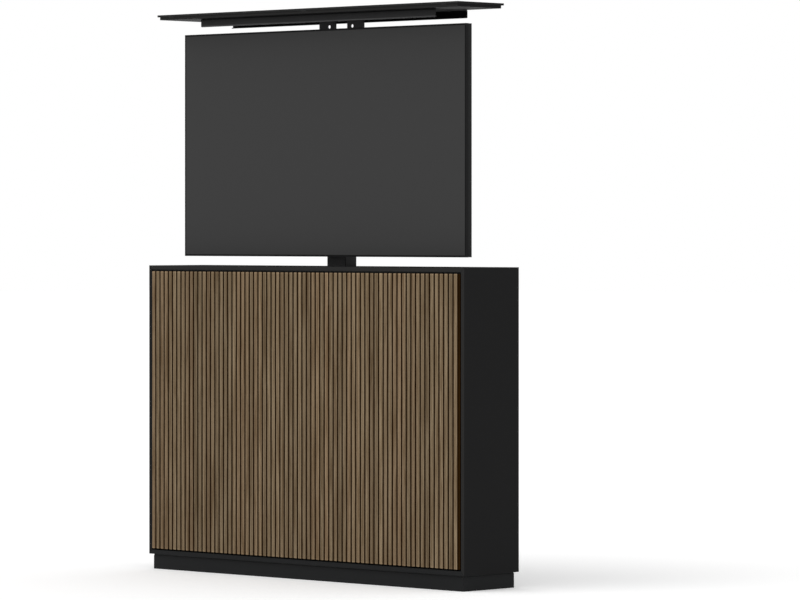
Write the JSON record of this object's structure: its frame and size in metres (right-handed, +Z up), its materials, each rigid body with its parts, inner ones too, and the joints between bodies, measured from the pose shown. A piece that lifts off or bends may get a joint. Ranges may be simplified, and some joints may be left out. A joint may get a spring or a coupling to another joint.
{
  "type": "tv lift cabinet",
  "caption": "Shallow slatted cabinet with a telescopic lift inside that raises a flat television and a floating lid through its top.",
  "frame": {"origin": "on the floor under the middle of the cabinet", "axes": "+X to the right seen from the slatted front, +Y from the front to the back, +Z up"},
  "size_m": [1.624, 0.289, 2.077],
  "materials": {
    "black_lacquer": "matte black lacquer on board",
    "black_hardboard": "matte black hardboard",
    "dark_backing": "dark brown stained board",
    "walnut": "matte oiled walnut",
    "pine_batten": "planed softwood",
    "black_steel": "fine-textured black powder coat",
    "zinc_steel": "zinc plated",
    "bright_steel": "ground steel, lightly oiled",
    "cast_alloy": "die-cast, satin",
    "bronze": "machined bronze",
    "black_plastic": "moulded, fine grain",
    "felt": "pressed felt",
    "tv_frame": "satin black",
    "tv_glass": "dark, switched off, anti-glare",
    "tv_plastic": "moulded, fine grain"
  },
  "bodies": {
    "root": {"left_side": "black_lacquer", "right_side": "black_lacquer", "top_board": "black_lacquer", "bottom_board": "black_lacquer", "back_panel": "black_hardboard", "cable_grommet": "black_plastic", "plinth_front": "black_lacquer", "plinth_back": "black_lacquer", "plinth_left": "black_lacquer", "plinth_right": "black_lacquer", "plinth_blocks": "pine_batten", "front_panel": "dark_backing", "front_cleats": "pine_batten", "slats_left": "walnut", "slats_middle": "walnut", "slats_right": "walnut", "upper_rail": "pine_batten", "lower_rail": "pine_batten", "base_plate": "black_steel", "outer_column": "black_steel", "outer_collar": "black_plastic", "base_bolts": "zinc_steel", "upper_bracket": "black_steel", "lower_bracket": "black_steel", "bracket_bolts": "zinc_steel", "gearbox": "cast_alloy", "motor": "black_steel", "control_box": "black_plastic", "power_inlet": "black_plastic"},
    "drive_screw": {"drive_screw": "bright_steel"},
    "middle_stage": {"middle_column": "black_steel", "middle_collar": "black_plastic", "middle_foot": "black_plastic", "middle_nut": "bronze", "thrust_bearing": "bright_steel"},
    "hollow_screw": {"hollow_screw": "bright_steel"},
    "carriage": {"inner_column": "black_steel", "inner_foot": "black_plastic", "inner_nut": "bronze", "head_plate": "black_steel", "spine_plate": "black_steel", "upper_crossbar": "black_steel", "lower_crossbar": "black_steel", "spine_bolts": "zinc_steel", "vesa_arm_left": "black_steel", "vesa_arm_right": "black_steel", "vesa_bolts": "zinc_steel", "lid_support_left": "black_steel", "lid_support_right": "black_steel", "lid_channel": "black_steel", "lid_board": "black_lacquer", "lid_bumpers": "felt", "tv_bezel": "tv_frame", "tv_screen": "tv_glass", "tv_back_cover": "tv_plastic"}
  },
  "joints": [
    {"name": "middle_lift", "type": "slide", "parent": "root", "child": "middle_stage", "axis": [0, 0, 1], "range_m": [-0.4644, 0]},
    {"name": "carriage_lift", "type": "slide", "parent": "middle_stage", "child": "carriage", "axis": [0, 0, 1], "range_m": [-0.4644, 0]},
    {"name": "drive_screw_turn", "type": "hinge", "parent": "root", "child": "drive_screw", "pos_m": [0, 0.0695, 0.14], "axis": [0, 0, 1], "range_deg": [0, 8360]},
    {"name": "hollow_screw_turn", "type": "hinge", "parent": "middle_stage", "child": "hollow_screw", "pos_m": [0, 0.0695, 0.65], "axis": [0, 0, 1], "range_deg": [0, 8360]}
  ],
  "couplings": [
    {"joint": "carriage_lift", "follows": "middle_lift", "ratio": 1},
    {"joint": "drive_screw_turn", "follows": "middle_lift", "rad_per_m": -314.16},
    {"joint": "hollow_screw_turn", "follows": "middle_lift", "rad_per_m": -314.16}
  ]
}
